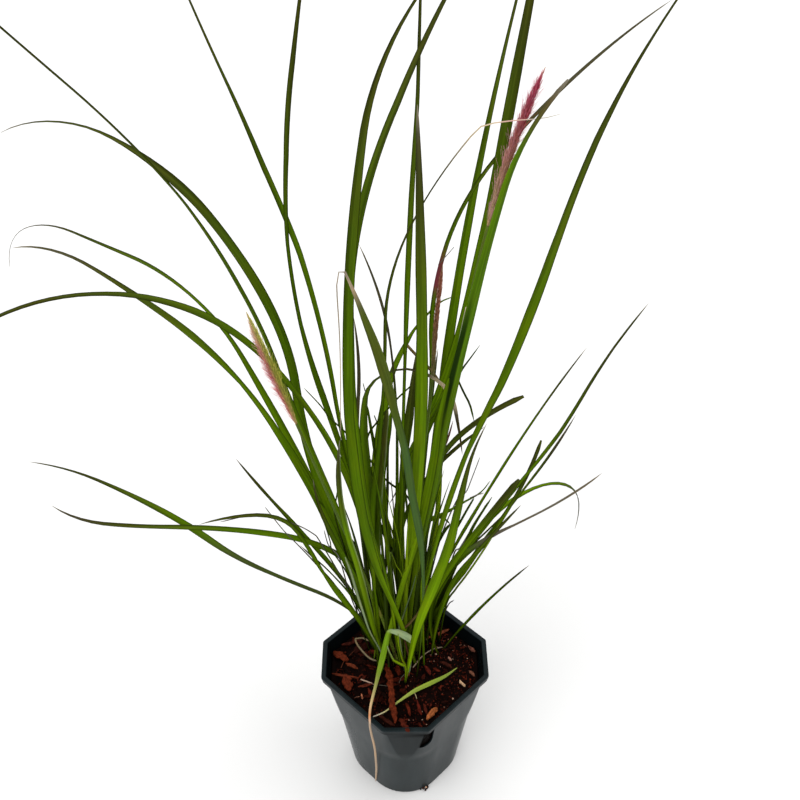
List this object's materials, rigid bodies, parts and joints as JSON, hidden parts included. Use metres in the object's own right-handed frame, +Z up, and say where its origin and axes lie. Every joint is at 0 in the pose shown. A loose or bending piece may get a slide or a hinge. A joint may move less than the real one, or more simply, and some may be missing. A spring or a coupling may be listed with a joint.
{
  "type": "potted fountain grass clump",
  "caption": "Clump of fountain grass with arching blade leaves and bristly flower spikes in a tapered square nursery pot with cut corners and bark soil.",
  "frame": {"origin": "centre of the pot's underside", "axes": "+Z up; the pot's four sides face along X and Y, and the corner between +X and -Y is the front corner in the picture"},
  "size_m": [0.4567, 0.421, 0.6655],
  "materials": {
    "pot_plastic": "semi-gloss moulded anthracite plastic",
    "bark_soil": "dark reddish bark chips and compost",
    "leaf": "green grass blade, satin",
    "dry_leaf": "dry tan grass blade",
    "stem": "green flower stem",
    "spike": "soft pink and tan bristles"
  },
  "bodies": {
    "root": {"Pot": "pot_plastic", "Potting_Soil": "bark_soil", "Leaf_Tall_1": "leaf", "Leaf_Tall_2": "leaf", "Leaf_Tall_3": "leaf", "Leaf_Tall_4": "leaf", "Leaf_Tall_5": "leaf", "Leaf_Tall_6": "leaf", "Leaf_Tall_7": "leaf", "Leaf_Tall_8": "leaf", "Leaf_Tall_9": "leaf", "Leaf_Tall_10": "leaf", "Leaf_Tall_11": "leaf", "Leaf_Tall_12": "leaf", "Leaf_Tall_13": "leaf", "Leaf_Tall_14": "leaf", "Leaf_Tall_15": "leaf", "Leaf_Tall_16": "leaf", "Leaf_Tall_17": "leaf", "Leaf_Mid_1": "leaf", "Leaf_Mid_2": "leaf", "Leaf_Mid_3": "leaf", "Leaf_Mid_4": "leaf", "Leaf_Mid_5": "leaf", "Leaf_Mid_6": "leaf", "Leaf_Mid_7": "leaf", "Leaf_Mid_8": "leaf", "Leaf_Mid_9": "leaf", "Leaf_Mid_10": "leaf", "Leaf_Low_1": "leaf", "Leaf_Low_2": "leaf", "Leaf_Low_3": "leaf", "Leaf_Low_4": "leaf", "Leaf_Low_5": "leaf", "Leaf_Low_6": "leaf", "Leaf_Low_7": "leaf", "Leaf_Low_8": "leaf", "Leaf_Low_9": "leaf", "Leaf_Low_10": "leaf", "Leaf_Low_11": "leaf", "Leaf_Low_12": "leaf", "Leaf_Low_13": "leaf", "Leaf_Low_14": "leaf", "Leaf_Low_15": "leaf", "Leaf_Low_16": "leaf", "Leaf_Low_17": "leaf", "Leaf_Drooping": "leaf", "Leaf_Loose": "dry_leaf", "Stem_1": "stem", "Spike_1": "spike", "Stem_2": "stem", "Spike_2": "spike", "Stem_3": "stem", "Spike_3": "spike"}
  },
  "joints": []
}
